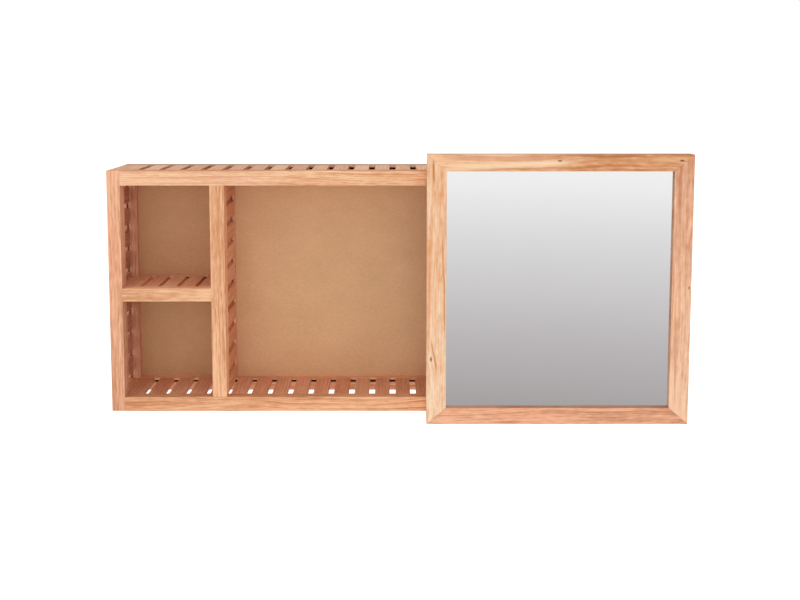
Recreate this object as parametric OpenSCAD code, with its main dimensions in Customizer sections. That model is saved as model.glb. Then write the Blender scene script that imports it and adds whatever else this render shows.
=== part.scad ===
// Wall cabinet in slatted timber with a sliding framed mirror door.
// Millimetres. Origin: midpoint between the two wall hanger holes, on the wall plane.
// +X is to the viewer's right, +Y points into the wall, +Z is up.

/* [Cabinet frame] */
// Outer width of the cabinet
cabinet_w = 974; // [900:1:1100]
// Outer height of the cabinet
cabinet_h = 420; // [400:1:480]
// Depth from the front faces to the wall
cabinet_d = 120; // [112:1:150]
// Height of the two front rails and of the top rear rail
rail_h = 25.5; // [24.5:0.5:30]
// Height of the bottom rear rail
low_rear_rail_h = 22.5; // [21:0.5:24]
// Depth of the two front rails
front_rail_d = 16; // [15.5:0.5:19]
// Depth of the two rear rails and of the rear stiles
rear_rail_d = 24; // [23.5:0.5:28]
// Width of the side stiles seen from the front
stile_w = 22.5; // [21.5:0.5:28]
// Depth of the front stiles
front_stile_d = 24; // [18:0.5:28]
// Height of the thick rail at the top of each side
side_rail_h = 28.4; // [26:0.2:34]

/* [Dividers and shelves] */
// Clear width of the two outer bays
bay_w = 152.5; // [140:0.5:180]
// Width of the two dividers seen from the front
divider_w = 24.5; // [22:0.5:28]
// Drop from the cabinet top to the shelf top
shelf_drop = 203.4; // [150:0.2:260]
// Height of the shelf rails
shelf_h = 23; // [20:0.5:28]

/* [Slats] */
// Thickness of every slat
slat_t = 9; // [8:0.5:10]
// Number of slats in the top and in the bottom
long_slat_n = 26; // [20:1:30]
// Width of the slats in the top and bottom
long_slat_w = 25.4; // [20:0.2:30]
// Number of slats between the rails of each side
side_slat_n = 9; // [6:1:10]
// Width of the slats in the sides
side_slat_w = 28.4; // [20:0.2:32]
// Number of slats in each divider
divider_slat_n = 10; // [7:1:11]
// Width of the slats in the dividers
divider_slat_w = 27.3; // [20:0.1:32]
// Number of slats in each shelf
shelf_slat_n = 5; // [3:1:5]
// Width of the slats in the shelves
shelf_slat_w = 25; // [18:0.2:27]
// Distance from a slat's flush face to its tongue
tongue_drop = 4; // [3:0.2:4.2]
// Thickness of the slat tongues
tongue_t = 3.4; // [2.4:0.2:3.6]
// Length of the slat tongues
tongue_l = 5; // [3:0.2:5]

/* [Back panel] */
// Thickness of the back panel
panel_t = 4; // [3:0.1:4]
// Distance from the wall to the back of the back panel
panel_setback = 9; // [8:0.2:9.4]
// How far the back panel is let into its grooves
panel_let_in = 5.5; // [4:0.1:6]

/* [Dowels] */
// Radius of the corner dowels
dowel_r = 3.95; // [3:0.05:4]
// Length of the corner dowels in the stiles
dowel_in_stile = 13; // [8:0.5:13]
// Length of the corner dowels in the rails
dowel_in_rail = 17; // [10:0.5:20]
// Radius of the pins that hold the dividers and shelves
pin_r = 2.4; // [1.6:0.1:2.4]
// Length of a pin on each side of its joint
pin_half_l = 10; // [7:0.5:10.5]

/* [Wall hangers] */
// Distance from a side of the cabinet to the hanger hole
hanger_inset = 87; // [77:1:140]
// Width of a hanger plate
hanger_w = 56; // [52:1:64]
// Height of a hanger plate
hanger_h = 18; // [17:0.5:20]
// Thickness of a hanger plate
hanger_t = 2; // [1.5:0.1:2.5]
// Radius of the hole that drops over the wall hook
hanger_hole_r = 4; // [3:0.1:4.5]
// Radius of the pocket in the rail behind the hole
pocket_r = 6.4; // [5.4:0.1:6.4]
// Depth of that pocket from the wall
pocket_d = 14; // [10:0.5:16]

/* [Door frame] */
// Outer width of the door
door_w = 446.5; // [400:0.5:470]
// Thickness of the door frame
door_t = 22; // [21:0.5:26]
// Gap between the door's back and the cabinet's front
door_gap = 4; // [3.6:0.1:6]
// Height of the door above the cabinet top
door_over = 29.7; // [29:0.1:36]
// Height of the door below the cabinet bottom
door_under = 12.8; // [12:0.1:18]
// Width of the door stiles
door_stile_w = 33; // [30:0.5:40]
// Width of the door rails
door_rail_w = 28.3; // [27:0.1:30]
// Thickness of the lip in front of the mirror
lip_t = 6; // [4:0.5:7]
// Width of the rebate behind the lip
rebate_w = 8; // [7:0.5:8.5]

/* [Mirror] */
// Thickness of the mirror glass
glass_t = 4; // [3:0.5:4]
// Thickness of the board behind the glass
backing_t = 3; // [2.5:0.5:3.5]
// Thickness of the beads that hold the board
bead_t = 7; // [5:0.5:7]

/* [Rollers] */
// Radius of a roller
roller_r = 10; // [9:0.5:10.5]
// Width of a roller
roller_w = 5.5; // [4:0.1:5.8]
// Distance from a side of the door to the middle of its roller
roller_inset = 73.25; // [44:0.25:100]
// Distance from the cabinet front to the middle of the track
track_y = 7; // [6.4:0.1:7.2]
// Width of the routed roller groove
groove_w = 7; // [6.6:0.1:7.4]
// Depth of the routed roller groove
groove_d = 3; // [2:0.1:3]
// Distance of the outer roller's stop position from the rail end
end_margin = 33.5; // [26:0.5:60]
// Radius of the roller axles
axle_r = 2.5; // [2:0.1:3]
// Radius of the collar between bracket and roller
collar_r = 4.5; // [4:0.1:5.5]
// Width of a roller bracket
bracket_w = 40; // [34:1:50]
// Thickness of a roller bracket
bracket_t = 2; // [1.5:0.1:2.5]
// Width of the rubber stops in the track
stop_l = 6; // [4:0.5:8]

/* [Bottom guides] */
// Width of a bottom guide
guide_w = 36; // [30:1:44]
// Thickness of a guide's leg and foot
guide_t = 3; // [2:0.5:3]
// Thickness of the fin that runs in the lower groove
fin_t = 3; // [2:0.1:3.2]
// Height of the fin inside the lower groove
fin_h = 4; // [3:0.1:4.5]
// Width of the lower groove
slot_w = 4.4; // [4:0.1:5]
// Depth of the lower groove
slot_d = 5.5; // [5:0.1:6]

/* [Screws] */
// Radius of the screw shanks
screw_r = 1.9; // [1.5:0.1:2]
// Radius of the screw heads
head_r = 3.4; // [3:0.1:3.6]
// Height of the screw heads
head_h = 1.9; // [1.5:0.1:2]
// Length of the screws under the head
screw_l = 15; // [10:0.5:16]

/* [Hidden] */
$fn = 48;
eps = 1;
slip = 0.1;
groove_slack = 0.5;
peg_fit = 0.05;
axle_fit = 0.06;
side_play = 0.3;
roll_gap = 0.3;
stop_gap = 0.4;
seat_fit = 0.2;
glass_fit = 0.5;
foot_gap = 2;
spline_t = 3;
spline_half = 7;
spline_from = 12;
spline_to = 25;
screw_x = 20;
bracket_screw_x = 13;
guide_screw_x = 11;
half_w = cabinet_w / 2;
half_in = half_w - stile_w;
top_z = rail_h / 2;
low_z = top_z - cabinet_h;
in_top = top_z - rail_h;
in_low = low_z + rail_h;
front_y = -cabinet_d;
rail_back_y = front_y + front_rail_d;
stile_back_y = front_y + front_stile_d;
rear_y = -rear_rail_d;
panel_back_y = -panel_setback;
panel_front_y = panel_back_y - panel_t;
div_out = half_in - bay_w;
div_in = div_out - divider_w;
div_mid = (div_out + div_in) / 2;
shelf_top = top_z - shelf_drop;
shelf_low = shelf_top - shelf_h;
shelf_mid = shelf_top - shelf_h / 2;
front_peg_y = front_y + front_rail_d / 2;
rear_peg_y = -rear_rail_d / 2;
hanger_spacing = cabinet_w - 2 * hanger_inset;
rear_pin_y = panel_front_y - pin_r - 0.9;
track_mid_y = front_y + track_y;
door_back_y = front_y - door_gap;
door_front_y = door_back_y - door_t;
door_top = top_z + door_over;
door_low = low_z - door_under;
roller_x = door_w / 2 - roller_inset;
door_x = half_in - roller_x - end_margin;
open_x = door_w / 2 - door_stile_w;
open_top = door_top - door_rail_w;
open_low = door_low + door_rail_w;
reb_x = open_x + rebate_w;
reb_top = open_top + rebate_w;
reb_low = open_low - rebate_w;
glass_front_y = door_front_y + lip_t;
backing_front_y = glass_front_y + glass_t;
bead_front_y = backing_front_y + backing_t;
roller_z = top_z - groove_d + roll_gap + roller_r;
roller_rise = roller_z - top_z;
stop_reach = sqrt(roller_r * roller_r - roller_rise * roller_rise) + stop_gap;
stop_in = door_x + roller_x + stop_reach;
groove_end = stop_in + stop_l;
collar_end_y = track_mid_y - roller_w / 2 - side_play;
keeper_y = track_mid_y + roller_w / 2 + side_play;
bracket_back_y = door_back_y + bracket_t;
bracket_low = open_top + 1.3;
bracket_high = door_top - 3.4;
bracket_screw_z = door_top - 9.4;
foot_top = low_z - foot_gap;
foot_low = foot_top - guide_t;
leg_low = door_low + 0.6;
guide_screw_z = (foot_low + leg_low) / 2;
slot_end = door_x + roller_x + guide_w / 2 + 3;
mitre_len = sqrt(door_stile_w * door_stile_w + door_rail_w * door_rail_w);
mitre_c = door_stile_w / mitre_len;
mitre_s = door_rail_w / mitre_len;

// Helpers

// A box given by its two opposite corners
module span(low, high) {
    translate(low)
        cube(high - low);
}

// A round bar along X, Y or Z from a start point
module bar_x(p, r, l) {
    translate(p)
        rotate([0, 90, 0])
            cylinder(h = l, r = r);
}

module bar_y(p, r, l) {
    translate(p)
        rotate([-90, 0, 0])
            cylinder(h = l, r = r);
}

module bar_z(p, r, l) {
    translate(p)
        cylinder(h = l, r = r);
}

// A lying slat with a tongue at each end, flush at z
module flat_slat(x, w, y0, y1, z) {
    tz = z - tongue_drop - tongue_t;
    span([x, y0, z - slat_t], [x + w, y1, z]);
    span([x, y0 - tongue_l, tz], [x + w, y1 + tongue_l, tz + tongue_t]);
}

// An upright slat or rail of thickness t, flush at x, its body on the side given by dir
module upright_slat(x, dir, t, z0, z1, y0, y1) {
    a = x + dir * tongue_drop;
    b = a + dir * tongue_t;
    span([min(x, x + dir * t), y0, z0], [max(x, x + dir * t), y1, z1]);
    span([min(a, b), y0 - tongue_l, z0], [max(a, b), y1 + tongue_l, z1]);
}

// The groove for the tongues of lying slats, from y0 to y1
module flat_groove(x0, x1, y0, y1, z) {
    tz = z - tongue_drop - tongue_t;
    span([x0, y0, tz - slip], [x1, y1, tz + tongue_t + slip]);
}

// The groove for the tongues of upright slats
module upright_groove(x, dir, z0, z1, y0, y1) {
    a = x + dir * (tongue_drop - slip);
    b = x + dir * (tongue_drop + tongue_t + slip);
    span([min(a, b), y0, z0], [max(a, b), y1, z1]);
}

// Pieces that are made in mirrored pairs; side is -1 for left and 1 for right

// Long rails

module rail_blank(y0, y1, z0, z1) {
    span([-half_in, y0, z0], [half_in, y1, z1]);
}

module rail_end_holes(y, z) {
    for (s = [-1, 1]) {
        x = s * half_in;
        start = s < 0 ? x - eps : x - dowel_in_rail - groove_slack;
        bar_x([start, y, z], dowel_r + peg_fit, dowel_in_rail + groove_slack + eps);
    }
}

module divider_holes(y, z0, l) {
    for (s = [-1, 1]) {
        bar_z([s * div_mid, y, z0], pin_r + peg_fit, l);
    }
}

module top_front_rail() {
    color([0.92, 0.7, 0.5])
        difference() {
            rail_blank(front_y, rail_back_y, in_top, top_z);
            span(
                [-groove_end, track_mid_y - groove_w / 2, top_z - groove_d],
                [groove_end, track_mid_y + groove_w / 2, top_z + eps]
            );
            flat_groove(
                -half_in - eps, half_in + eps,
                rail_back_y - tongue_l - groove_slack, rail_back_y + eps, top_z
            );
            rail_end_holes(front_peg_y, (top_z + in_top) / 2);
            divider_holes(front_peg_y, in_top - eps, pin_half_l + groove_slack + eps);
        }
}

module bottom_front_rail() {
    color([0.92, 0.7, 0.5])
        difference() {
            rail_blank(front_y, rail_back_y, low_z, in_low);
            span(
                [-slot_end, track_mid_y - slot_w / 2, low_z - eps],
                [slot_end, track_mid_y + slot_w / 2, low_z + slot_d]
            );
            flat_groove(
                -half_in - eps, half_in + eps,
                rail_back_y - tongue_l - groove_slack, rail_back_y + eps, in_low
            );
            rail_end_holes(front_peg_y, (low_z + in_low) / 2);
            divider_holes(
                front_peg_y, in_low - pin_half_l - groove_slack,
                pin_half_l + groove_slack + eps
            );
        }
}

module top_rear_rail() {
    color([0.85, 0.62, 0.44])
        difference() {
            rail_blank(rear_y, 0, in_top, top_z);
            flat_groove(
                -half_in - eps, half_in + eps,
                rear_y - eps, rear_y + tongue_l + groove_slack, top_z
            );
            span(
                [-half_in - eps, panel_front_y - slip, in_top - eps],
                [half_in + eps, panel_back_y + slip, in_top + panel_let_in + groove_slack]
            );
            rail_end_holes(rear_peg_y, (top_z + in_top) / 2);
            divider_holes(rear_pin_y, in_top - eps, pin_half_l + groove_slack + eps);
            for (s = [-1, 1]) {
                hx = s * hanger_spacing / 2;
                span(
                    [hx - hanger_w / 2 - seat_fit, -hanger_t, -hanger_h / 2 - seat_fit],
                    [hx + hanger_w / 2 + seat_fit, eps, hanger_h / 2 + seat_fit]
                );
                bar_y([hx, -pocket_d, 0], pocket_r, pocket_d);
                for (t = [-1, 1]) {
                    bar_y(
                        [hx + t * screw_x, -screw_l - groove_slack, 0],
                        screw_r + peg_fit, screw_l + groove_slack
                    );
                }
            }
        }
}

module bottom_rear_rail() {
    color([0.85, 0.62, 0.44])
        difference() {
            rail_blank(rear_y, 0, in_low - low_rear_rail_h, in_low);
            flat_groove(
                -half_in - eps, half_in + eps,
                rear_y - eps, rear_y + tongue_l + groove_slack, in_low
            );
            span(
                [-half_in - eps, panel_front_y - slip, in_low - panel_let_in - groove_slack],
                [half_in + eps, panel_back_y + slip, in_low + eps]
            );
            rail_end_holes(rear_peg_y, (low_z + in_low) / 2);
            divider_holes(
                rear_pin_y, in_low - pin_half_l - groove_slack,
                pin_half_l + groove_slack + eps
            );
        }
}

// Side frames

module stile_holes(side, peg_y, pin_y) {
    x = side * half_in;
    peg_x = side > 0 ? x - eps : x - dowel_in_stile - groove_slack;
    pin_x = side > 0 ? x - eps : x - pin_half_l - groove_slack;
    bar_x(
        [peg_x, peg_y, (top_z + in_top) / 2],
        dowel_r + peg_fit, dowel_in_stile + groove_slack + eps
    );
    bar_x(
        [peg_x, peg_y, (low_z + in_low) / 2],
        dowel_r + peg_fit, dowel_in_stile + groove_slack + eps
    );
    bar_x([pin_x, pin_y, shelf_mid], pin_r + peg_fit, pin_half_l + groove_slack + eps);
}

module front_stile(side) {
    color([0.94, 0.72, 0.52])
        difference() {
            span(
                [side > 0 ? half_in : -half_w, front_y, low_z],
                [side > 0 ? half_w : -half_in, stile_back_y, top_z]
            );
            upright_groove(
                side * half_w, -side, low_z - eps, top_z + eps,
                stile_back_y - tongue_l - groove_slack, stile_back_y + eps
            );
            stile_holes(side, front_peg_y, front_peg_y);
        }
}

module rear_stile(side) {
    px = side * (half_in + panel_let_in + groove_slack);
    qx = side * (half_in - eps);
    color([0.8, 0.58, 0.41])
        difference() {
            span(
                [side > 0 ? half_in : -half_w, rear_y, low_z],
                [side > 0 ? half_w : -half_in, 0, top_z]
            );
            upright_groove(
                side * half_w, -side, low_z - eps, top_z + eps,
                rear_y - eps, rear_y + tongue_l + groove_slack
            );
            span(
                [min(px, qx), panel_front_y - slip, in_low - panel_let_in - groove_slack],
                [max(px, qx), panel_back_y + slip, in_top + panel_let_in + groove_slack]
            );
            stile_holes(side, rear_peg_y, rear_pin_y);
        }
}

// The upper rail stands below the top slats; the lower one is level with the bottom slats
module side_rails(side) {
    color([0.86, 0.64, 0.46]) {
        upright_slat(
            side * half_w, -side, stile_w, top_z - side_rail_h, top_z,
            stile_back_y, rear_y
        );
        upright_slat(side * half_w, -side, stile_w, low_z, in_low, stile_back_y, rear_y);
    }
}

// The slats' spacing is centred on the cabinet's height
module side_slats(side) {
    room = cabinet_h - 2 * side_rail_h;
    gap = (room - side_slat_n * side_slat_w) / (side_slat_n + 1);
    first = low_z + side_rail_h + gap;
    color([0.84, 0.6, 0.44])
        for (i = [0 : side_slat_n - 1]) {
            z = first + i * (side_slat_w + gap);
            upright_slat(side * half_w, -side, slat_t, z, z + side_slat_w, stile_back_y, rear_y);
        }
}

module left_front_stile() {
    front_stile(-1);
}

module left_rear_stile() {
    rear_stile(-1);
}

module right_front_stile() {
    front_stile(1);
}

module right_rear_stile() {
    rear_stile(1);
}

module left_side_rails() {
    side_rails(-1);
}

module right_side_rails() {
    side_rails(1);
}

module left_side_slats() {
    side_slats(-1);
}

module right_side_slats() {
    side_slats(1);
}

// Top and bottom slats

module long_slats(z) {
    gap = (2 * half_in - long_slat_n * long_slat_w) / (long_slat_n - 1);
    for (i = [0 : long_slat_n - 1]) {
        flat_slat(-half_in + i * (long_slat_w + gap), long_slat_w, rail_back_y, rear_y, z);
    }
}

module top_slats() {
    color([0.88, 0.68, 0.54])
        long_slats(top_z);
}

module bottom_slats() {
    color([0.7, 0.48, 0.34])
        long_slats(in_low);
}

// Dividers

module divider_stile(side, y0, y1, groove_y0, groove_y1, pin_y) {
    x_low = side > 0 ? div_in : -div_out;
    pin_x = side > 0 ? div_out - pin_half_l - groove_slack : -div_out - eps;
    difference() {
        span([x_low, y0, in_low], [x_low + divider_w, y1, in_top]);
        upright_groove(side * div_in, side, in_low - eps, in_top + eps, groove_y0, groove_y1);
        bar_z([side * div_mid, pin_y, in_low - eps], pin_r + peg_fit, pin_half_l + groove_slack + eps);
        bar_z(
            [side * div_mid, pin_y, in_top - pin_half_l - groove_slack],
            pin_r + peg_fit, pin_half_l + groove_slack + eps
        );
        bar_x([pin_x, pin_y, shelf_mid], pin_r + peg_fit, pin_half_l + groove_slack + eps);
    }
}

module divider_front_stile(side) {
    color([0.95, 0.72, 0.5])
        divider_stile(
            side, front_y, stile_back_y,
            stile_back_y - tongue_l - groove_slack, stile_back_y + eps, front_peg_y
        );
}

module divider_rear_stile(side) {
    color([0.72, 0.48, 0.36])
        divider_stile(
            side, rear_y, panel_front_y,
            rear_y - eps, rear_y + tongue_l + groove_slack, rear_pin_y
        );
}

module divider_slats(side) {
    room = in_top - in_low;
    gap = (room - divider_slat_n * divider_slat_w) / (divider_slat_n - 1);
    color([0.72, 0.45, 0.33])
        for (i = [0 : divider_slat_n - 1]) {
            z = in_low + i * (divider_slat_w + gap);
            upright_slat(side * div_in, side, slat_t, z, z + divider_slat_w, stile_back_y, rear_y);
        }
}

module left_divider_front_stile() {
    divider_front_stile(-1);
}

module left_divider_rear_stile() {
    divider_rear_stile(-1);
}

module left_divider_slats() {
    divider_slats(-1);
}

module right_divider_front_stile() {
    divider_front_stile(1);
}

module right_divider_rear_stile() {
    divider_rear_stile(1);
}

module right_divider_slats() {
    divider_slats(1);
}

// Shelves

module shelf_rail(side, y0, y1, groove_y0, groove_y1, pin_y) {
    x_low = side > 0 ? div_out : -half_in;
    difference() {
        span([x_low, y0, shelf_low], [x_low + bay_w, y1, shelf_top]);
        flat_groove(x_low - eps, x_low + bay_w + eps, groove_y0, groove_y1, shelf_top);
        bar_x([x_low - eps, pin_y, shelf_mid], pin_r + peg_fit, pin_half_l + groove_slack + eps);
        bar_x(
            [x_low + bay_w - pin_half_l - groove_slack, pin_y, shelf_mid],
            pin_r + peg_fit, pin_half_l + groove_slack + eps
        );
    }
}

module shelf_front_rail(side) {
    color([0.94, 0.7, 0.5])
        shelf_rail(
            side, front_y, rail_back_y,
            rail_back_y - tongue_l - groove_slack, rail_back_y + eps, front_peg_y
        );
}

module shelf_rear_rail(side) {
    color([0.72, 0.5, 0.38])
        shelf_rail(
            side, rear_y, panel_front_y,
            rear_y - eps, rear_y + tongue_l + groove_slack, rear_pin_y
        );
}

// The widening of the outer shelf slat, which fills the space between the stiles
module shelf_wing(side) {
    wing_in = half_in - shelf_slat_w / 2;
    wing_out = half_w - slat_t - slip;
    span(
        [side > 0 ? wing_in : -wing_out, stile_back_y + slip, shelf_top - slat_t],
        [side > 0 ? wing_out : -wing_in, rear_y - slip, shelf_top]
    );
}

module shelf_slats(side) {
    x_low = side > 0 ? div_out : -half_in;
    gap = (bay_w - shelf_slat_n * shelf_slat_w) / (shelf_slat_n - 1);
    color([0.8, 0.55, 0.4]) {
        for (i = [0 : shelf_slat_n - 1]) {
            flat_slat(
                x_low + i * (shelf_slat_w + gap), shelf_slat_w,
                rail_back_y, rear_y, shelf_top
            );
        }
        shelf_wing(side);
    }
}

module left_shelf_front_rail() {
    shelf_front_rail(-1);
}

module left_shelf_rear_rail() {
    shelf_rear_rail(-1);
}

module left_shelf_slats() {
    shelf_slats(-1);
}

module right_shelf_front_rail() {
    shelf_front_rail(1);
}

module right_shelf_rear_rail() {
    shelf_rear_rail(1);
}

module right_shelf_slats() {
    shelf_slats(1);
}

// Back panel, dowels and pins

module back_panel() {
    color([0.76, 0.58, 0.42])
        span(
            [-half_in - panel_let_in, panel_front_y, in_low - panel_let_in],
            [half_in + panel_let_in, panel_back_y, in_top + panel_let_in]
        );
}

module corner_dowels() {
    color([0.9, 0.8, 0.6])
        for (s = [-1, 1]) {
            for (y = [front_peg_y, rear_peg_y]) {
                for (z = [(top_z + in_top) / 2, (low_z + in_low) / 2]) {
                    x0 = s > 0 ? half_in - dowel_in_rail : -half_in - dowel_in_stile;
                    bar_x([x0, y, z], dowel_r, dowel_in_rail + dowel_in_stile);
                }
            }
        }
}

module divider_pins() {
    color([0.9, 0.8, 0.6])
        for (s = [-1, 1]) {
            for (y = [front_peg_y, rear_pin_y]) {
                for (z = [in_top, in_low]) {
                    bar_z([s * div_mid, y, z - pin_half_l], pin_r, 2 * pin_half_l);
                }
            }
        }
}

module shelf_pins() {
    color([0.9, 0.8, 0.6])
        for (s = [-1, 1]) {
            for (y = [front_peg_y, rear_pin_y]) {
                for (x = [div_out, half_in]) {
                    bar_x([s * x - pin_half_l, y, shelf_mid], pin_r, 2 * pin_half_l);
                }
            }
        }
}

// Wall hangers

module hanger_plates() {
    color([0.75, 0.75, 0.78])
        for (s = [-1, 1]) {
            hx = s * hanger_spacing / 2;
            difference() {
                span(
                    [hx - hanger_w / 2, -hanger_t, -hanger_h / 2],
                    [hx + hanger_w / 2, 0, hanger_h / 2]
                );
                bar_y([hx, -hanger_t - eps, 0], hanger_hole_r, hanger_t + 2 * eps);
                for (t = [-1, 1]) {
                    translate([hx + t * screw_x, -hanger_t - slip, 0])
                        rotate([-90, 0, 0])
                            cylinder(
                                h = hanger_t + 2 * slip,
                                r1 = screw_r + peg_fit, r2 = head_r + slip
                            );
                }
            }
        }
}

module hanger_screws() {
    color([0.7, 0.7, 0.72])
        for (s = [-1, 1]) {
            for (t = [-1, 1]) {
                x = s * hanger_spacing / 2 + t * screw_x;
                bar_y([x, -screw_l, 0], screw_r, screw_l - slip);
                translate([x, -hanger_t, 0])
                    rotate([-90, 0, 0])
                        cylinder(h = hanger_t - slip, r1 = screw_r, r2 = head_r - slip);
            }
        }
}

// Track stops

module track_stops() {
    color([0.35, 0.22, 0.15])
        for (s = [-1, 1]) {
            span(
                [s > 0 ? stop_in : -groove_end, track_mid_y - groove_w / 2 + slip, top_z - groove_d],
                [s > 0 ? groove_end : -stop_in, track_mid_y + groove_w / 2 - slip, top_z]
            );
        }
}

// Door frame

// A flat outline in X and Z, as thick as the distance from y0 to y1
module slab(y0, y1, points) {
    translate([door_x, y1, 0])
        rotate([90, 0, 0])
            linear_extrude(y1 - y0)
                polygon(points);
}

module rebate() {
    span(
        [door_x - reb_x, glass_front_y, reb_low],
        [door_x + reb_x, door_back_y + eps, reb_top]
    );
}

// Outline of the loose tongue across a mitred corner, grown by g
module spline_slab(sx, sz, g) {
    cx = sx * door_w / 2;
    cz = sz > 0 ? door_top : door_low;
    my = (glass_front_y + door_back_y) / 2;
    a = spline_from - g;
    b = spline_to + g;
    h = spline_half + g;
    slab(
        my - spline_t / 2 - g / 2, my + spline_t / 2 + g / 2,
        [
            for (p = [[a, -h], [b, -h], [b, h], [a, h]])
                [
                    cx - sx * (p[0] * mitre_c - p[1] * mitre_s),
                    cz - sz * (p[0] * mitre_s + p[1] * mitre_c)
                ]
        ]
    );
}

module door_screw_holes(z, dx) {
    for (s = [-1, 1]) {
        for (t = [-1, 1]) {
            bar_y(
                [door_x + s * roller_x + t * dx, door_back_y - screw_l - groove_slack, z],
                screw_r + peg_fit, screw_l + groove_slack + eps
            );
        }
    }
}

module door_rail(sz) {
    outer = sz > 0 ? door_top : door_low;
    inner = sz > 0 ? open_top : open_low;
    difference() {
        slab(
            door_front_y, door_back_y,
            [[-door_w / 2, outer], [door_w / 2, outer], [open_x, inner], [-open_x, inner]]
        );
        rebate();
        spline_slab(-1, sz, slip);
        spline_slab(1, sz, slip);
        door_screw_holes(
            sz > 0 ? bracket_screw_z : guide_screw_z,
            sz > 0 ? bracket_screw_x : guide_screw_x
        );
    }
}

module door_stile(sx) {
    difference() {
        slab(
            door_front_y, door_back_y,
            [
                [sx * door_w / 2, door_low], [sx * door_w / 2, door_top],
                [sx * open_x, open_top], [sx * open_x, open_low]
            ]
        );
        rebate();
        spline_slab(sx, -1, slip);
        spline_slab(sx, 1, slip);
    }
}

module door_top_rail() {
    color([0.94, 0.76, 0.6])
        door_rail(1);
}

module door_bottom_rail() {
    color([0.94, 0.76, 0.6])
        door_rail(-1);
}

module door_left_stile() {
    color([0.95, 0.76, 0.58])
        door_stile(-1);
}

module door_right_stile() {
    color([0.88, 0.67, 0.53])
        door_stile(1);
}

module door_splines() {
    color([0.9, 0.8, 0.6])
        for (sx = [-1, 1]) {
            for (sz = [-1, 1]) {
                spline_slab(sx, sz, 0);
            }
        }
}

// Mirror and what holds it

module mirror_glass() {
    gx = reb_x - glass_fit;
    color([0.75, 0.78, 0.8])
        span(
            [door_x - gx, glass_front_y, reb_low + glass_fit],
            [door_x + gx, backing_front_y, reb_top - glass_fit]
        );
}

module mirror_backing() {
    gx = reb_x - glass_fit;
    color([0.6, 0.45, 0.32])
        span(
            [door_x - gx, backing_front_y, reb_low + glass_fit],
            [door_x + gx, bead_front_y, reb_top - glass_fit]
        );
}

module bead_level(sz) {
    outer = sz > 0 ? reb_top : reb_low;
    inner = sz > 0 ? open_top : open_low;
    slab(
        bead_front_y, bead_front_y + bead_t,
        [[-reb_x, outer], [reb_x, outer], [open_x, inner], [-open_x, inner]]
    );
}

module bead_upright(sx) {
    slab(
        bead_front_y, bead_front_y + bead_t,
        [
            [sx * reb_x, reb_low], [sx * reb_x, reb_top],
            [sx * open_x, open_top], [sx * open_x, open_low]
        ]
    );
}

module bead_top() {
    color([0.85, 0.65, 0.48])
        bead_level(1);
}

module bead_bottom() {
    color([0.85, 0.65, 0.48])
        bead_level(-1);
}

module bead_left() {
    color([0.85, 0.65, 0.48])
        bead_upright(-1);
}

module bead_right() {
    color([0.85, 0.65, 0.48])
        bead_upright(1);
}

// Rollers and their brackets

module roller_bracket(s) {
    x = door_x + s * roller_x;
    color([0.72, 0.72, 0.75])
        difference() {
            span(
                [x - bracket_w / 2, door_back_y, bracket_low],
                [x + bracket_w / 2, bracket_back_y, bracket_high]
            );
            bar_y([x, door_back_y - eps, roller_z], axle_r + peg_fit, bracket_t + 2 * eps);
            for (t = [-1, 1]) {
                bar_y(
                    [x + t * bracket_screw_x, door_back_y - eps, bracket_screw_z],
                    screw_r + seat_fit, bracket_t + 2 * eps
                );
            }
        }
}

module roller_axle(s) {
    x = door_x + s * roller_x;
    color([0.6, 0.6, 0.63]) {
        bar_y([x, door_back_y, roller_z], axle_r, keeper_y + 1.5 - door_back_y);
        bar_y([x, bracket_back_y, roller_z], collar_r, collar_end_y - bracket_back_y);
        bar_y([x, keeper_y, roller_z], collar_r - 0.5, 1.5);
    }
}

module roller(s) {
    x = door_x + s * roller_x;
    y0 = track_mid_y - roller_w / 2;
    color([0.93, 0.93, 0.9])
        difference() {
            bar_y([x, y0, roller_z], roller_r, roller_w);
            bar_y([x, y0 - eps, roller_z], axle_r + axle_fit, roller_w + 2 * eps);
        }
}

// A pan head screw that points to the front, its head seated at y
module pan_screw(x, y, z) {
    bar_y([x, y - screw_l, z], screw_r, screw_l);
    bar_y([x, y, z], head_r, head_h);
}

module bracket_screws() {
    color([0.7, 0.7, 0.72])
        for (s = [-1, 1]) {
            for (t = [-1, 1]) {
                x = door_x + s * roller_x + t * bracket_screw_x;
                pan_screw(x, bracket_back_y, bracket_screw_z);
            }
        }
}

module left_roller_bracket() {
    roller_bracket(-1);
}

module right_roller_bracket() {
    roller_bracket(1);
}

module left_roller_axle() {
    roller_axle(-1);
}

module right_roller_axle() {
    roller_axle(1);
}

module left_roller() {
    roller(-1);
}

module right_roller() {
    roller(1);
}

// Bottom guides

module door_guide(s) {
    x = door_x + s * roller_x;
    x0 = x - guide_w / 2;
    x1 = x + guide_w / 2;
    color([0.93, 0.92, 0.88])
        difference() {
            union() {
                span([x0, door_back_y, leg_low], [x1, door_back_y + guide_t, foot_top]);
                span([x0, door_back_y, foot_low], [x1, track_mid_y + 4, foot_top]);
                span(
                    [x0, track_mid_y - fin_t / 2, foot_low],
                    [x1, track_mid_y + fin_t / 2, low_z + fin_h]
                );
            }
            for (t = [-1, 1]) {
                bar_y(
                    [x + t * guide_screw_x, door_back_y - eps, guide_screw_z],
                    screw_r + seat_fit, guide_t + 2 * eps
                );
            }
        }
}

module left_door_guide() {
    door_guide(-1);
}

module right_door_guide() {
    door_guide(1);
}

module guide_screws() {
    color([0.7, 0.7, 0.72])
        for (s = [-1, 1]) {
            for (t = [-1, 1]) {
                x = door_x + s * roller_x + t * guide_screw_x;
                pan_screw(x, door_back_y + guide_t, guide_screw_z);
            }
        }
}

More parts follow.
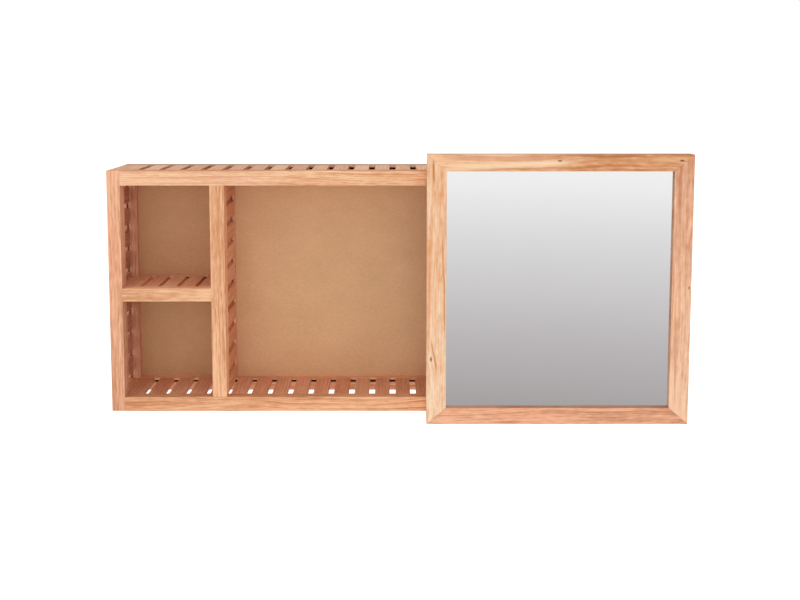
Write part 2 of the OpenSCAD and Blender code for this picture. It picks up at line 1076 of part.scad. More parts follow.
top_front_rail();
top_rear_rail();
bottom_front_rail();
bottom_rear_rail();
left_front_stile();
left_rear_stile();
right_front_stile();
right_rear_stile();
left_side_rails();
right_side_rails();
top_slats();
bottom_slats();
left_side_slats();
right_side_slats();
left_divider_front_stile();
left_divider_rear_stile();
left_divider_slats();
right_divider_front_stile();
right_divider_rear_stile();
right_divider_slats();
left_shelf_front_rail();
left_shelf_rear_rail();
left_shelf_slats();
right_shelf_front_rail();
right_shelf_rear_rail();
right_shelf_slats();
back_panel();
corner_dowels();
divider_pins();
shelf_pins();
hanger_plates();
hanger_screws();
track_stops();
door_top_rail();
door_bottom_rail();
door_left_stile();
door_right_stile();
door_splines();
mirror_glass();
mirror_backing();
bead_top();
bead_bottom();
bead_left();
bead_right();
left_roller_bracket();
right_roller_bracket();
left_roller_axle();
right_roller_axle();
bracket_screws();
left_door_guide();
right_door_guide();
guide_screws();
left_roller();
right_roller();
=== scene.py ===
"""Slatted wall cabinet with a sliding framed mirror: materials, edges, light and camera."""
import math

import bpy
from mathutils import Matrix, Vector


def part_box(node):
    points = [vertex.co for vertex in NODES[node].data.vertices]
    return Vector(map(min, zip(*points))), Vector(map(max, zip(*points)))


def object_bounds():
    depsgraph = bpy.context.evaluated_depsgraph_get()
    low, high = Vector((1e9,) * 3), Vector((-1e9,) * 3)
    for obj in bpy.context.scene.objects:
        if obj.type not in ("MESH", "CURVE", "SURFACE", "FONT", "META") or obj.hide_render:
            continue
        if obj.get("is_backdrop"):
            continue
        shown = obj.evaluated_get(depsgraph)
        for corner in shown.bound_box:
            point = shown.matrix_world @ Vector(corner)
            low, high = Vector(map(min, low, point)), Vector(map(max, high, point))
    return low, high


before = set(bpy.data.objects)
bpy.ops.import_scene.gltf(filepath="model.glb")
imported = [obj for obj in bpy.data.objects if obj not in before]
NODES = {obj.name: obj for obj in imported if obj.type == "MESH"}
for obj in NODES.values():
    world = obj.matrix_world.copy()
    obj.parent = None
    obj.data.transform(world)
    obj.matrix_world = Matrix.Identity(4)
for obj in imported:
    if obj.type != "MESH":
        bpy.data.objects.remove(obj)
cad_low, cad_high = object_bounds()

# Colours


def linear(value):
    value /= 255
    return value / 12.92 if value <= 0.04045 else ((value + 0.055) / 1.055) ** 2.4


def rgb(red, green, blue):
    return (linear(red), linear(green), linear(blue), 1.0)


WHITE = (1.0, 1.0, 1.0, 1.0)
# The near black of painted shade, in grooves, on top faces and on inner faces.
PAINTED_SHADE = rgb(46, 3, 0)
KNOT_HEART = rgb(118, 46, 6)
PORE = rgb(150, 84, 48)
END_GRAIN = rgb(176, 112, 74)
# The colour of painted shade on the sides of the slats, in the gaps between them.
SLAT_SIDE_SHADE = rgb(150, 84, 46)
YELLOWER, REDDER = (1.0, 1.07, 1.09, 1.0), (0.99, 0.89, 0.86, 1.0)
BOARD_FLECK = rgb(126, 82, 52)
BAY_SHADE = rgb(206, 190, 184)

# Node trees


class Tree:
    """A node tree, emptied, with short calls for the nodes that this script uses."""

    def __init__(self, tree):
        self.tree = tree
        tree.nodes.clear()

    def add(self, kind, values=None, **props):
        n = self.tree.nodes.new("ShaderNode" + kind)
        for key, value in props.items():
            setattr(n, key, value)
        for key, value in (values or {}).items():
            self.set(n.inputs[key], value)
        return n

    def set(self, socket, value):
        if isinstance(value, bpy.types.NodeSocket):
            self.tree.links.new(value, socket)
        else:
            socket.default_value = value

    def math(self, op, a, b=0.0, clamp=False):
        return self.add("Math", {0: a, 1: b}, operation=op, use_clamp=clamp).outputs[0]

    def vector(self, op, a, b):
        return self.add("VectorMath", {0: a, 1: b}, operation=op).outputs[0]

    def times(self, a, b, clamp=False):
        return self.math("MULTIPLY", a, b, clamp)

    def plus(self, a, b, clamp=False):
        return self.math("ADD", a, b, clamp)

    def noise(self, where, size, detail, rough):
        """Noise around 0, from -0.5 to 0.5. size is in repeats a metre along each axis of where."""
        scaled = self.vector("MULTIPLY", where, size)
        n = self.add("TexNoise", {"Vector": scaled, "Scale": 1.0, "Detail": detail, "Roughness": rough})
        return self.math("SUBTRACT", n.outputs[0], 0.5)

    def ramp(self, value, stops):
        """The colour at value along a ramp. Each stop is (place from 0 to 1, colour)."""
        n = self.add("ValToRGB", {0: value})
        while len(n.color_ramp.elements) < len(stops):
            n.color_ramp.elements.new(0.5)
        for element, (at, colour) in zip(n.color_ramp.elements, stops):
            element.position = at
            element.color = colour
        return n.outputs[0]

    def mix(self, amount, a, b, blend="MIX"):
        n = self.add("Mix", {0: amount, 6: a, 7: b}, data_type="RGBA", blend_type=blend)
        return n.outputs[2]

    def split(self, value):
        parts = self.add("SeparateXYZ", {0: value}).outputs
        return {letter: parts[letter] for letter in "XYZ"}


class Net(Tree):
    """The node tree of a new material with one shader."""

    def __init__(self, name):
        self.mat = bpy.data.materials.new(name)
        self.mat.use_nodes = True
        super().__init__(self.mat.node_tree)
        self.out = self.add("OutputMaterial")
        self.shader = self.add("BsdfPrincipled")
        self.set(self.out.inputs[0], self.shader.outputs[0])

    def put(self, **sockets):
        for name, value in sockets.items():
            self.set(self.shader.inputs[name.replace("_", " ")], value)

    def dress(self, colour, surface, uneven, height, **sockets):
        """Dresses the shader. surface is (roughness, how much uneven adds, bump strength, bump depth)."""
        base, reach, strength, deep = surface
        rough = self.plus(self.times(uneven, reach), base)
        bump = self.add("Bump", {"Strength": strength, "Distance": deep, "Height": height})
        self.put(Base_Color=colour, Roughness=rough, Normal=bump.outputs[0], **sockets)
        return self.mat


# Wood

GRAIN_ORDER = {"X": "XYZ", "Y": "YXZ", "Z": "ZXY"}

# How a board looks where its own line in the tables doesn't say otherwise.
PLAIN = {
    "grain": 1.0,  # how fine the figure is
    "contrast": 1.0,  # how strong the whole figure shows
    "figure": 1.0,  # how strong the year rings show
    "wave": 1.0,  # how much the year rings bend
    "spread": (1.0, 1.0, 1.0),  # how far apart pale and deep wood are in red, green and blue
    "drift": 0.0,  # how much darker the board gets along its length
    "middle": 0.0,  # where along it the drift is nil
    "boards": None,  # (across axis, start, pitch, count), where one node holds many slats
    "knots": (),  # each (x, z, radius)
    "stripes": (),  # each (start, end, half width, colour, amount), with start and end as (x, z)
    "dark": (),  # each (box, amount) of painted shade, in grooves, on top faces and on inner faces
    "sawn": 0.0,  # how much painted shade darkens the sides of the slats, in the gaps between them
}

# Noises in the figure: repeats a metre along and across the grain, detail and roughness.
FIBRE = (36.0, 460.0, 3.0, 0.6)
FLECK = (54.0, 250.0, 2.0, 0.6)
STREAK = (9.6, 150.0, 3.0, 0.6)
CLOUD = (7.0, 36.0, 2.0, 0.5)
TINT = (5.0, 34.0, 2.0, 0.5)
PORES = (60.0, 1500.0, 1.0, 0.5)
RING_FADE = (6.0, 44.0, 1.0, 0.5)
SLOW_BEND = (2.6, 8.0, 2.0, 0.5)
QUICK_BEND = (13.0, 60.0, 3.0, 0.5)
WAVER = (16.0, 40.0, 2.0, 0.5)

# How much each part of the figure darkens a board, next to 1 for the year rings.
FINE_RING_PART, FIBRE_PART, FLECK_PART, STREAK_PART, CLOUD_PART = 0.3, 0.9, 0.9, 1.0, 0.8

# How much a slat's own tone darkens it, and how much patches of tint and that tone redden it.
SLAT_PART, TINT_PART, SLAT_TINT_PART = 0.25, 1.3, 0.9

# Where plain wood lies between pale and deep, and between yellower and redder.
TONE_AT, TINT_AT = 0.4, 0.4

# How far pale and deep wood lie from a board's tone, in sRGB levels of 255.
PALER, DEEPER = 22, 33

# Rings: how wide they are, how dark across that width, about how dark on average, how much they tilt, how
# sharply they come and go, and how far the bends move them.
YEAR_RING, FINE_RING = 0.0066, 0.0023
RING_PROFILE = ((0.0, 0.0), (0.45, 0.2), (0.75, 0.55), (0.88, 1.0), (0.95, 0.85), (1.0, 0.0))
RING_MEAN = 0.36
RING_TILT = 0.55
RING_FADE_STEEP = 3.0
SLOW_REACH, QUICK_REACH = 0.034, 0.0046

# How far apart the figure of one board or slat lies from the next one's.
BOARD_STEP = (1.37, 0.223, 0.171)
SLAT_STEP = (3.0, 0.9, 0.7)
SLAT_SEED = 7.31

# Knots: how much distance along the grain counts, their reach and push in radii, and how their dark fades.
KNOT_LONG, KNOT_REACH, KNOT_PUSH, KNOT_FALL = 0.42, 3.0, 1.6, 0.5

# Stripes: their edge in half widths, the fade at their ends, how far they waver, and how they break up.
STRIPE_CORE, STRIPE_FADE, STRIPE_WAVER, STRIPE_BREAKS = 1.4, 5.0, 0.005, 1.4

# Pores start where their noise is high. A face looks along an axis from this much of its normal on.
PORE_FROM, PORE_PART = 0.16, 0.12
FACING, END_PART = 0.8, 0.4

# The wood's surface as dress() takes it, its shine, and how deep the rings lie in it.
WOOD_SURFACE, WOOD_SPECULAR, RING_BUMP = (0.54, 0.22, 0.2, 0.0004), 0.3, 0.25


def within(net, part, box):
    """1 inside the box, given as {axis: (low, high)} in metres, and 0 outside it."""
    inside = 1.0
    for letter, (low, high) in box.items():
        above = net.math("GREATER_THAN", part[letter], low)
        below = net.math("LESS_THAN", part[letter], high)
        inside = net.times(inside, net.times(above, below))
    return inside


def grain_place(net, part, axis, seed, boards):
    """A board's own coordinates, along, across and through the grain, and how its tone differs."""
    along, across, through = (part[letter] for letter in GRAIN_ORDER[axis])
    place = net.add("CombineXYZ", {0: along, 1: across, 2: through}).outputs[0]
    board_tone = 0.0
    if boards:
        side, start, pitch, count = boards
        index = net.math("FLOOR", net.math("DIVIDE", net.math("SUBTRACT", part[side], start), pitch))
        index = net.math("MINIMUM", net.math("MAXIMUM", index, 0.0), count - 1)
        number = net.add("TexWhiteNoise", {"W": net.plus(index, seed * SLAT_SEED)}, noise_dimensions="1D")
        place = net.vector("ADD", place, net.vector("MULTIPLY", number.outputs["Color"], SLAT_STEP))
        board_tone = net.math("SUBTRACT", number.outputs["Value"], 0.5)
    return net.vector("ADD", place, tuple(seed * step for step in BOARD_STEP)), board_tone


def grain_noise(net, place, kind, grain=1.0):
    """Noise that runs along the grain. A finer grain packs it closer across the board."""
    along, across, detail, rough = kind
    return net.noise(place, (along, across * grain, across * grain), detail, rough)


def knot_field(net, part, axis, knots):
    """How far knots push the year rings aside, and how deep inside a knot a point is."""
    push, depth = 0.0, 0.0
    for knot_x, knot_z, knot_r in knots:
        dx = net.times(net.math("SUBTRACT", part["X"], knot_x), KNOT_LONG if axis == "X" else 1.0)
        dz = net.times(net.math("SUBTRACT", part["Z"], knot_z), KNOT_LONG if axis == "Z" else 1.0)
        away = net.math("SQRT", net.plus(net.times(dx, dx), net.times(dz, dz)))
        near = net.math("DIVIDE", away, knot_r * KNOT_REACH)
        bulge = net.math("EXPONENT", net.times(net.times(near, near), -1.0))
        push = net.plus(push, net.times(bulge, knot_r * KNOT_PUSH))
        inside = net.math("SUBTRACT", 1.0, net.math("DIVIDE", away, knot_r), clamp=True)
        depth = net.math("MAXIMUM", depth, inside)
    return push, depth


def year_rings(net, place, push, grain, wave):
    """Wide and fine rings round a tilted pith, bent by slow noise and pushed round the knots."""
    split = net.split(place)
    radius = net.plus(net.plus(split["Y"], net.times(split["Z"], RING_TILT)), push)
    for kind, reach in ((SLOW_BEND, SLOW_REACH), (QUICK_BEND, QUICK_REACH)):
        radius = net.plus(radius, net.times(grain_noise(net, place, kind), reach * wave))
    stops = [(at, (level, level, level, 1.0)) for at, level in RING_PROFILE]
    rings = []
    for width in (YEAR_RING, FINE_RING):
        turn = net.math("FRACT", net.math("DIVIDE", radius, width / grain))
        rings.append(net.math("SUBTRACT", net.ramp(turn, stops), RING_MEAN))
    return rings


def stripe(net, part, axis, place, start, end, half_width):
    """1 on a line of figure from start to end, given as (x, z), which wavers as the grain does."""
    i = "XZ".index(axis)
    begin, stop, at = start[i], end[i], start[1 - i]
    slope = (end[1 - i] - at) / (stop - begin)
    run = net.math("SUBTRACT", part[axis], begin)
    way = net.math("DIVIDE", run, stop - begin)
    line = net.plus(net.times(run, slope), at)
    waver = net.times(grain_noise(net, place, WAVER), STRIPE_WAVER)
    aside = net.math("ABSOLUTE", net.plus(net.math("SUBTRACT", part["ZX"[i]], line), waver))
    core = net.math("SUBTRACT", STRIPE_CORE, net.math("DIVIDE", aside, half_width), clamp=True)
    fade_in = net.times(way, STRIPE_FADE, clamp=True)
    fade_out = net.times(net.math("SUBTRACT", 1.0, way), STRIPE_FADE, clamp=True)
    return net.times(core, net.times(fade_in, fade_out))


def turned(net, facing, letter):
    """1 on faces that look along the axis, and 0 on the others."""
    return net.math("GREATER_THAN", net.math("ABSOLUTE", facing[letter]), FACING)


def wood_colour(net, along, place, look, tone, board_tone, rings, noises):
    """The plain figure: rings and noises between the board's pale and deep wood, in yellower and redder
    patches. along is how far along the board a point is."""
    pale = rgb(*(min(level + PALER * wide, 255) for level, wide in zip(tone, look["spread"])))
    deep = rgb(*(level - DEEPER * wide for level, wide in zip(tone, look["spread"])))
    ring, fine_ring = rings
    fibre, fleck, streak = noises
    cloud = grain_noise(net, place, CLOUD)
    ring_fade = net.times(grain_noise(net, place, RING_FADE), RING_FADE_STEEP)
    ring_fade = net.plus(ring_fade, 0.5, clamp=True)
    dim = net.times(net.times(ring, ring_fade), look["figure"] * look["contrast"])
    for value, weight in ((fine_ring, FINE_RING_PART), (fibre, FIBRE_PART), (fleck, FLECK_PART),
                          (streak, STREAK_PART), (cloud, CLOUD_PART)):
        dim = net.plus(dim, net.times(value, weight * look["contrast"]))
    if look["drift"]:
        dim = net.plus(dim, net.times(net.math("SUBTRACT", along, look["middle"]), look["drift"]))
    dim = net.plus(dim, net.times(board_tone, SLAT_PART))
    colour = net.mix(net.plus(dim, TONE_AT, clamp=True), pale, deep)
    redness = net.times(grain_noise(net, place, TINT), TINT_PART)
    redness = net.plus(redness, net.times(board_tone, SLAT_TINT_PART))
    hue = net.mix(net.plus(redness, TINT_AT, clamp=True), YELLOWER, REDDER)
    return net.mix(1.0, colour, hue, "MULTIPLY")


def wood(name, axis, tone, seed, **looks):
    """Planed timber with its grain along axis, around the sRGB colour tone. PLAIN explains the looks."""
    look = PLAIN | looks
    net = Net(name)
    coords = net.add("TexCoord").outputs
    part, facing = net.split(coords["Object"]), net.split(coords["Normal"])
    place, board_tone = grain_place(net, part, axis, seed, look["boards"])
    push, knot_depth = knot_field(net, part, axis, look["knots"])
    rings = year_rings(net, place, push, look["grain"], look["wave"])
    noises = [grain_noise(net, place, kind, look["grain"]) for kind in (FIBRE, FLECK, STREAK)]
    fibre, fleck, streak = noises
    colour = wood_colour(net, part[axis], place, look, tone, board_tone, rings, noises)

    for start, end, half_width, shade, amount in look["stripes"]:
        on_line = stripe(net, part, axis, place, start, end, half_width)
        broken = net.times(on_line, net.plus(net.times(streak, STRIPE_BREAKS), amount), clamp=True)
        colour = net.mix(broken, colour, rgb(*shade))
    pores = net.math("GREATER_THAN", grain_noise(net, place, PORES), PORE_FROM)
    colour = net.mix(net.times(pores, PORE_PART * look["contrast"]), colour, PORE)
    if look["knots"]:
        colour = net.mix(net.math("POWER", knot_depth, KNOT_FALL), colour, KNOT_HEART)
    colour = net.mix(net.times(turned(net, facing, axis), END_PART), colour, END_GRAIN, "MULTIPLY")
    # Painted shade on the sides of the slats, in the gaps between them.
    if look["sawn"]:
        side_face = turned(net, facing, look["boards"][0])
        colour = net.mix(net.times(side_face, look["sawn"]), colour, SLAT_SIDE_SHADE)
    # Painted shade: each dark box mixes the wood towards near black.
    for box, amount in look["dark"]:
        colour = net.mix(net.times(within(net, part, box), amount), colour, PAINTED_SHADE)

    height = net.math("SUBTRACT", fibre, net.times(rings[0], RING_BUMP))
    return net.dress(colour, WOOD_SURFACE, fibre, height, Specular_IOR_Level=WOOD_SPECULAR)


# Fibre board, metal, plastic and mirror

# Noises: repeats a metre along each axis, detail and roughness.
FELT = ((520.0, 520.0, 728.0), 3.0, 0.7)
HAIR = ((156.0, 520.0, 936.0), 2.0, 0.5)
BLOTCH = ((16.0, 16.0, 20.0), 3.0, 0.5)
SPECK = ((260.0, 260.0, 420.0), 1.0, 0.5)
BRUSH = ((90.0, 2600.0, 2600.0), 2.0, 0.5)
DULL_PATCH = ((70.0, 70.0, 70.0), 3.0, 0.5)
MATT_GRAIN = ((1800.0, 1800.0, 1800.0), 2.0, 0.5)
MATT_PATCH = ((60.0, 60.0, 60.0), 2.0, 0.5)
HAZE = ((14.0, 14.0, 14.0), 4.0, 0.6)

# Fibre board: how far apart two boards' figures lie, and how much each noise counts, as for wood.
SHEET_STEP = (1.0, 0.7, 1.9)
FELT_PART, BLOTCH_PART, SHEET_TONE_AT = 1.2, 0.5, 0.42
SPECK_FROM, SPECK_PART = 0.2, 0.14
FRONT_FACING = -0.5
BOARD_SURFACE, BOARD_SPECULAR = (0.78, 0.2, 0.35, 0.0004), 0.2

# Steel and silvering
STEEL_PALE, STEEL_DULL = rgb(186, 188, 190), rgb(150, 152, 158)
STEEL_SURFACE = (0.34, 0.25, 0.15, 0.0002)
SILVER_PALE, SILVER_HAZE = rgb(248, 248, 248), rgb(245, 245, 246)
SILVER_ROUGH, HAZE_ROUGH = 0.014, 0.012


def board(name, base, deep, seed, spread=1.0, shade=None, painted_light=()):
    """Pressed fibre board: fine felted fibres, faint blotches. shade is (half width, amount): painted
    shade makes the front that much darker outside the half width. The last argument lists (axis, start,
    end, gain) of painted light: the board gets that much paler from start to end."""
    net = Net(name)
    coords = net.add("TexCoord").outputs
    part, facing = net.split(coords["Object"]), net.split(coords["Normal"])
    place = net.vector("ADD", coords["Object"], tuple(seed * step for step in SHEET_STEP))
    fine = net.noise(place, *FELT)
    hair = net.noise(place, *HAIR)
    cloud = net.noise(place, *BLOTCH)
    speck = net.math("GREATER_THAN", net.noise(place, *SPECK), SPECK_FROM)
    amount = net.plus(net.times(fine, FELT_PART * spread), net.times(hair, spread))
    amount = net.plus(amount, net.times(cloud, BLOTCH_PART))
    colour = net.mix(net.plus(amount, SHEET_TONE_AT, clamp=True), base, deep)
    colour = net.mix(net.times(speck, SPECK_PART), colour, BOARD_FLECK)
    # Painted light: the board gets paler along each listed axis.
    for axis, start, end, gain in painted_light:
        way = net.math("DIVIDE", net.math("SUBTRACT", part[axis], start), end - start, clamp=True)
        colour = net.mix(way, colour, (gain, gain, gain, 1.0), "MULTIPLY")
    if shade:
        half_width, depth = shade
        front = net.math("LESS_THAN", facing["Y"], FRONT_FACING)
        outside = net.math("GREATER_THAN", net.math("ABSOLUTE", part["X"]), half_width)
        colour = net.mix(net.times(net.times(outside, front), depth), colour, BAY_SHADE, "MULTIPLY")
    height = net.plus(fine, hair)
    return net.dress(colour, BOARD_SURFACE, fine, height, Specular_IOR_Level=BOARD_SPECULAR)


def shifted(net, seed):
    """Object coordinates, moved so that no two pieces look alike."""
    return net.vector("ADD", net.add("TexCoord").outputs["Object"], (seed, seed, seed))


def steel(name, seed):
    """Zinc plated steel with brush lines and dull patches."""
    net = Net(name)
    place = shifted(net, seed)
    lines = net.noise(place, *BRUSH)
    patch = net.noise(place, *DULL_PATCH)
    colour = net.mix(net.plus(patch, 0.5, clamp=True), STEEL_PALE, STEEL_DULL)
    return net.dress(colour, STEEL_SURFACE, net.plus(lines, patch), lines, Metallic=1.0)


def moulded(name, base, deep, surface, seed):
    """Moulded nylon or rubber with a fine matt grain."""
    net = Net(name)
    place = shifted(net, seed)
    grain = net.noise(place, *MATT_GRAIN)
    cloud = net.noise(place, *MATT_PATCH)
    colour = net.mix(net.plus(cloud, 0.5, clamp=True), base, deep)
    return net.dress(colour, surface, grain, grain)


def mirror(name):
    """Silvered glass, very slightly hazed."""
    net = Net(name)
    haze = net.noise(net.add("TexCoord").outputs["Object"], *HAZE)
    rough = net.plus(net.times(haze, HAZE_ROUGH), SILVER_ROUGH, clamp=True)
    tint = net.mix(net.plus(haze, 0.5, clamp=True), SILVER_PALE, SILVER_HAZE)
    net.put(Base_Color=tint, Metallic=1.0, Roughness=rough)
    return net.mat


# Soft edges

WELD_SPAN = 1e-6
FLAT_DEGREES, ARRIS_DEGREES = 0.5, 40.0
ARRIS_STEPS = 2


def smoothing_tree():
    """Drops the imported normals and makes faces smooth, so that the bevel can set its own."""
    tree = bpy.data.node_groups.new("smoothing", "GeometryNodeTree")
    for way in ("INPUT", "OUTPUT"):
        tree.interface.new_socket("Geometry", in_out=way, socket_type="NodeSocketGeometry")
    start, end = tree.nodes.new("NodeGroupInput"), tree.nodes.new("NodeGroupOutput")
    drop = tree.nodes.new("GeometryNodeRemoveAttribute")
    drop.inputs["Name"].default_value = "custom_normal"
    smooth = tree.nodes.new("GeometryNodeSetShadeSmooth")
    tree.links.new(start.outputs[0], drop.inputs[0])
    tree.links.new(drop.outputs[0], smooth.inputs[0])
    tree.links.new(smooth.outputs[0], end.inputs[0])
    return tree


SMOOTHING = smoothing_tree()


def soften(node, width):
    """Rounds the arrises of a CAD node with modifiers. The node's mesh stays as it is."""
    weld = node.modifiers.new("weld", "WELD")
    weld.merge_threshold = WELD_SPAN
    flat = node.modifiers.new("flat", "DECIMATE")
    flat.decimate_type = "DISSOLVE"
    flat.angle_limit = math.radians(FLAT_DEGREES)
    smooth = node.modifiers.new("smooth", "NODES")
    smooth.node_group = SMOOTHING
    edge = node.modifiers.new("edge", "BEVEL")
    edge.width = width
    edge.segments = ARRIS_STEPS
    edge.limit_method = "ANGLE"
    edge.angle_limit = math.radians(ARRIS_DEGREES)
    edge.harden_normals = True


def finish(node_name, arris, mat):
    """Gives a CAD node its material, and rounds its arrises by that much."""
    node = NODES[node_name]
    node.data.materials.clear()
    node.data.materials.append(mat)
    if arris:
        soften(node, arris)


# Painted shade in grooves, on top faces and on inner faces of the boards, each as (box, how dark)

WOOD_ARRIS, METAL_ARRIS, NYLON_ARRIS = 0.0005, 0.0002, 0.0003
SKIN = 0.0003
FAR = 1.0  # past the end of any board
# How dark the painted shade in the rear rails' tongue grooves is.
GROOVE_SHADE = 0.99
GROOVE_LONG = 0.007

# How far behind a rear rail's front the painted shade begins, and its top and bottom below the top of the
# slats.
FLOOR_SPAN = (SKIN, 0.0036, 0.0086)
ROOF_SPAN = (SKIN, 0.0018, 0.0076)
SHELF_SPAN = (-SKIN, 0.0018, 0.0064)

# Along the shelf, the painted shade runs from the edge of its second slot to near the divider.
SHELF_REACH = (-0.402, -0.318)


def rear_groove_shade(rail, slats, start, top, deep):
    """Painted shade in the tongue groove in the front of a rear rail, as it shows in the slots between the
    slats.
    """
    front, slat_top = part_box(rail)[0].y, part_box(slats)[1].z
    return {"Y": (front + start, front + GROOVE_LONG), "Z": (slat_top - deep, slat_top - top)}


RAIL_TOP, LIP_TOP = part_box("top_front_rail")[1].z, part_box("bottom_front_rail")[1].z
STILE_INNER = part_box("left_front_stile")[1].x
# Painted shade in the rear rails' tongue grooves, where the slots between the slats show them.
FLOOR_GROOVE_SHADE = (rear_groove_shade("bottom_rear_rail", "bottom_slats", *FLOOR_SPAN), GROOVE_SHADE)
ROOF_GROOVE_SHADE = (rear_groove_shade("top_rear_rail", "top_slats", *ROOF_SPAN), GROOVE_SHADE)
SHELF_BOX = {"X": SHELF_REACH} | rear_groove_shade("left_shelf_rear_rail", "left_shelf_slats", *SHELF_SPAN)
SHELF_GROOVE_SHADE = (SHELF_BOX, GROOVE_SHADE)
# Painted shade on the top faces of the top rails.
RAIL_TOP_SHADE = ({"Z": (RAIL_TOP - SKIN, FAR)}, 0.42)
# Painted shade on the top face of the bottom front rail.
LIP_TOP_SHADE = ({"Z": (LIP_TOP - SKIN, FAR)}, 0.2)
# Painted shade on the inner face of the left front stile.
INNER_FACE_SHADE = ({"X": (STILE_INNER - SKIN, FAR)}, 0.12)

OPEN_LEFT, OPEN_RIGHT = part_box("door_left_stile")[1].x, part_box("door_right_stile")[0].x
OPEN_LOW, OPEN_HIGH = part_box("door_bottom_rail")[1].z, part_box("door_top_rail")[0].z
DOOR_FRONT, DOOR_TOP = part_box("door_top_rail")[0].y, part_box("door_top_rail")[1].z
FRONT_ARRIS = 0.0007
LIP_DEEP = 0.0061
LIP_SKIN = 0.0004
# Painted shade on the top faces of the door's top rail and stiles.
DOOR_TOP_SHADE = ({"Z": (DOOR_TOP - SKIN, FAR), "Y": (DOOR_FRONT + FRONT_ARRIS, 0.0)}, 0.3)


def lip_shade(letter, at, amount):
    """Painted shade on the inner edge of a door member, where it frames the glass."""
    span = (DOOR_FRONT + FRONT_ARRIS, DOOR_FRONT + LIP_DEEP)
    return {letter: (at - LIP_SKIN, at + LIP_SKIN), "Y": span}, amount


# Frame boards of the cabinet: name, grain axis, tone and looks

CABINET_BOARDS = (
    ("top_front_rail", "X", (251, 187, 142), {
        "figure": 0.7, "contrast": 1.5, "spread": (0.8, 1.0, 1.0), "grain": 1.2, "wave": 0.35,
        "drift": 0.35, "middle": -0.2, "dark": (RAIL_TOP_SHADE,), "stripes": (
            ((-0.520, 0.0), (-0.180, -0.004), 0.0200, (252, 198, 170), 0.3),
        )}),
    ("bottom_front_rail", "X", (236, 168, 122), {
        "contrast": 1.2, "drift": -0.9, "middle": -0.13, "dark": (LIP_TOP_SHADE,), "stripes": (
            ((-0.411, -0.4067), (-0.239, -0.3903), 0.0022, (250, 204, 160), 0.6),
            ((-0.463, -0.3935), (-0.385, -0.3875), 0.0022, (204, 140, 100), 0.5),
        )}),
    ("left_front_stile", "Z", (235, 170, 132), {
        "figure": 0.6, "contrast": 1.25, "drift": -1.0, "middle": -0.2, "dark": (INNER_FACE_SHADE,), "stripes": (
            ((-0.4685, -0.296), (-0.4756, -0.407), 0.0012, (208, 144, 104), 0.5),
            ((-0.4756, -0.268), (-0.4855, -0.407), 0.0012, (208, 144, 104), 0.5),
        )}),
    ("right_front_stile", "Z", (236, 172, 132), {"figure": 0.6, "contrast": 1.2}),
    ("left_divider_front_stile", "Z", (244, 175, 130), {
        "contrast": 1.45, "figure": 0.7, "drift": 1.2, "middle": -0.2, "stripes": (
            ((-0.2895, -0.058), (-0.3044, -0.117), 0.0010, (206, 140, 98), 0.55),
            ((-0.2992, -0.037), (-0.3096, -0.131), 0.0010, (206, 140, 98), 0.55),
        )}),
    ("right_divider_front_stile", "Z", (240, 174, 130), {"contrast": 1.4, "figure": 0.7}),
    ("left_shelf_front_rail", "X", (246, 178, 133), {"contrast": 1.3, "drift": -3.2, "middle": -0.388}),
    ("right_shelf_front_rail", "X", (244, 180, 136), {"contrast": 1.2}),
    ("top_rear_rail", "X", (222, 164, 124), {"dark": (RAIL_TOP_SHADE, ROOF_GROOVE_SHADE)}),
    ("bottom_rear_rail", "X", (232, 164, 122), {"dark": (FLOOR_GROOVE_SHADE,)}),
    ("left_rear_stile", "Z", (214, 152, 118), {"figure": 0.6}),
    ("right_rear_stile", "Z", (220, 160, 128), {}),
    ("left_divider_rear_stile", "Z", (220, 156, 122), {}),
    ("right_divider_rear_stile", "Z", (220, 156, 122), {}),
    ("left_shelf_rear_rail", "X", (220, 158, 124), {"dark": (SHELF_GROOVE_SHADE,)}),
    ("right_shelf_rear_rail", "X", (222, 160, 124), {}),
)

# Boards of the door, with the knots and lines of figure that the photograph shows

